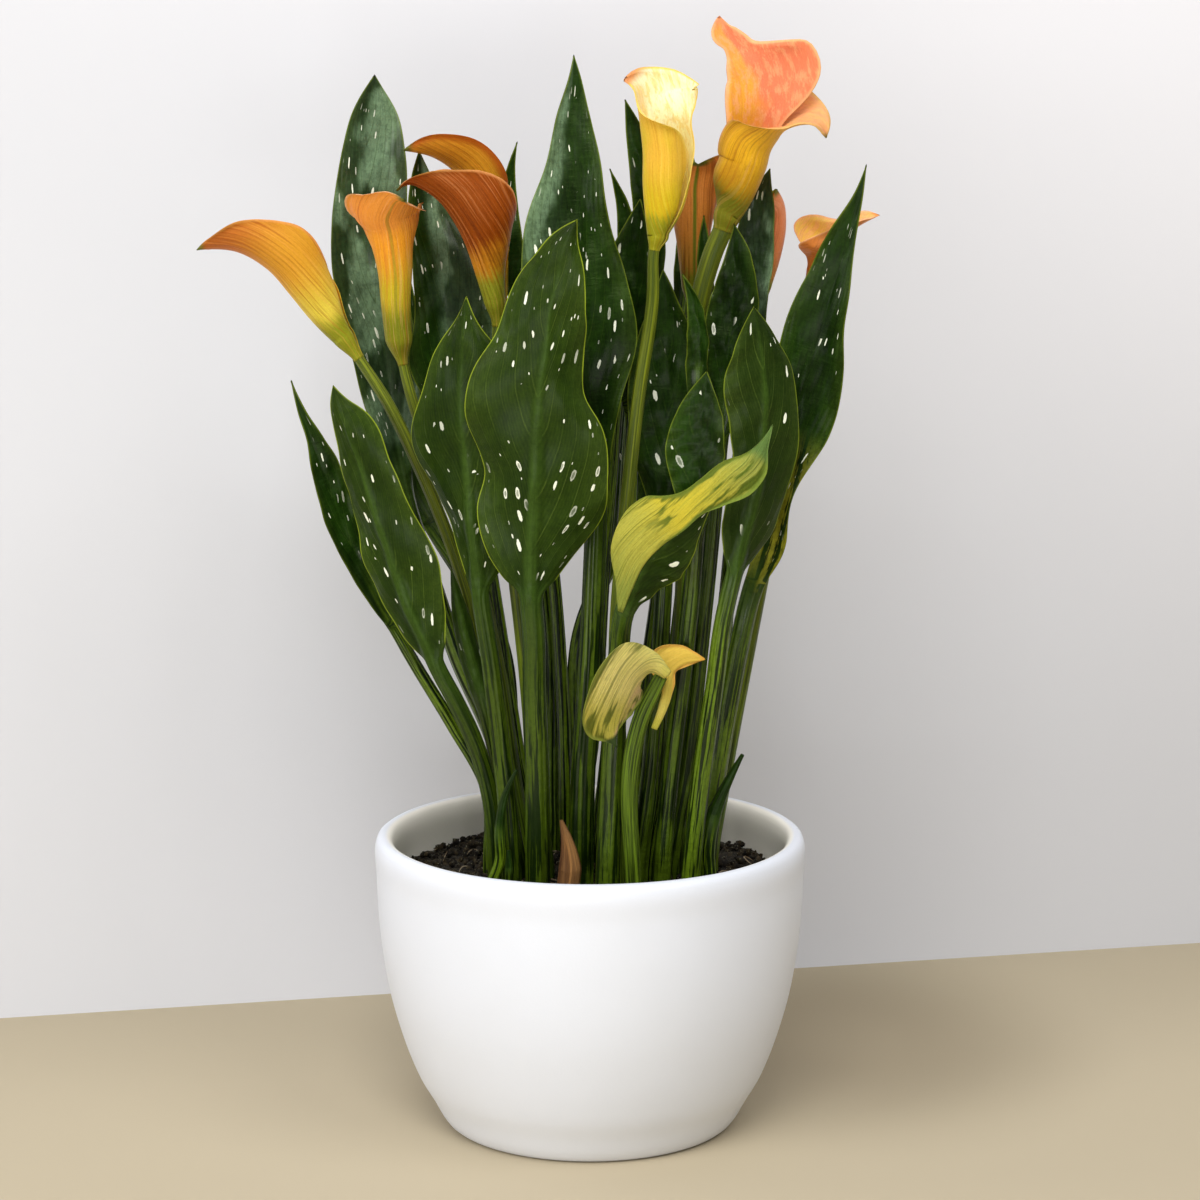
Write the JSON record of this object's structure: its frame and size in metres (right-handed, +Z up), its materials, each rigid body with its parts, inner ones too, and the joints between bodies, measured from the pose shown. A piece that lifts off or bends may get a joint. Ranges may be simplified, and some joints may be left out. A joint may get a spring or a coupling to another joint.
{
  "type": "potted calla lily",
  "caption": "Clump of spotted arrow-shaped leaves and rolled orange and yellow blooms, standing in soil in a plain round white pot.",
  "frame": {"origin": "centre of the pot's flat underside, on the surface that it stands on", "axes": "+Z up along the pot's axis and the plant's height, -Y towards the viewer of the picture, +X to the picture's right"},
  "size_m": [0.3072, 0.203, 0.513],
  "materials": {
    "pot_white": "satin",
    "soil": "matte",
    "leaf_green": "satin",
    "shoot_yellow": "satin",
    "sheath_brown": "matte",
    "bract_yellow": "satin",
    "stalk_green": "satin",
    "spathe_gold": "satin",
    "spathe_orange": "satin",
    "spathe_rust": "satin",
    "spathe_amber": "satin",
    "spathe_yellow": "satin",
    "spathe_pink": "satin",
    "spathe_old": "matte"
  },
  "bodies": {
    "root": {"pot": "pot_white", "soil": "soil", "leaf_01": "leaf_green", "leaf_02": "leaf_green", "leaf_03": "leaf_green", "leaf_04": "leaf_green", "leaf_05": "leaf_green", "leaf_06": "leaf_green", "leaf_07": "leaf_green", "leaf_08": "leaf_green", "leaf_10": "leaf_green", "leaf_11": "leaf_green", "leaf_12": "leaf_green", "leaf_13": "leaf_green", "leaf_14": "leaf_green", "leaf_15": "leaf_green", "leaf_16": "leaf_green", "leaf_17": "leaf_green", "leaf_18": "leaf_green", "leaf_19": "leaf_green", "leaf_22": "leaf_green", "leaf_23": "leaf_green", "leaf_24": "leaf_green", "leaf_25": "leaf_green", "leaf_26": "leaf_green", "leaf_27": "leaf_green", "bract_green": "leaf_green", "sprout_1": "leaf_green", "sprout_2": "leaf_green", "sprout_3": "leaf_green", "sprout_4": "leaf_green", "sprout_5": "shoot_yellow", "sheath": "sheath_brown", "bract_yellow": "bract_yellow", "bloom_01_stalk": "stalk_green", "bloom_02_stalk": "stalk_green", "bloom_03_stalk": "stalk_green", "bloom_04_stalk": "stalk_green", "bloom_05_stalk": "stalk_green", "bloom_06_stalk": "stalk_green", "bloom_07_stalk": "stalk_green", "bloom_08_stalk": "stalk_green", "bloom_09_stalk": "stalk_green", "bloom_11_stalk": "stalk_green", "bloom_01_spathe": "spathe_gold", "bloom_02_spathe": "spathe_orange", "bloom_03_spathe": "spathe_rust", "bloom_04_spathe": "spathe_amber", "bloom_05_spathe": "spathe_yellow", "bloom_06_spathe": "spathe_gold", "bloom_06_inner": "spathe_pink", "bloom_07_spathe": "spathe_rust", "bloom_08_spathe": "spathe_orange", "bloom_09_spathe": "spathe_orange", "bloom_11_spathe": "spathe_old", "bloom_11_flap": "spathe_old"}
  },
  "joints": []
}
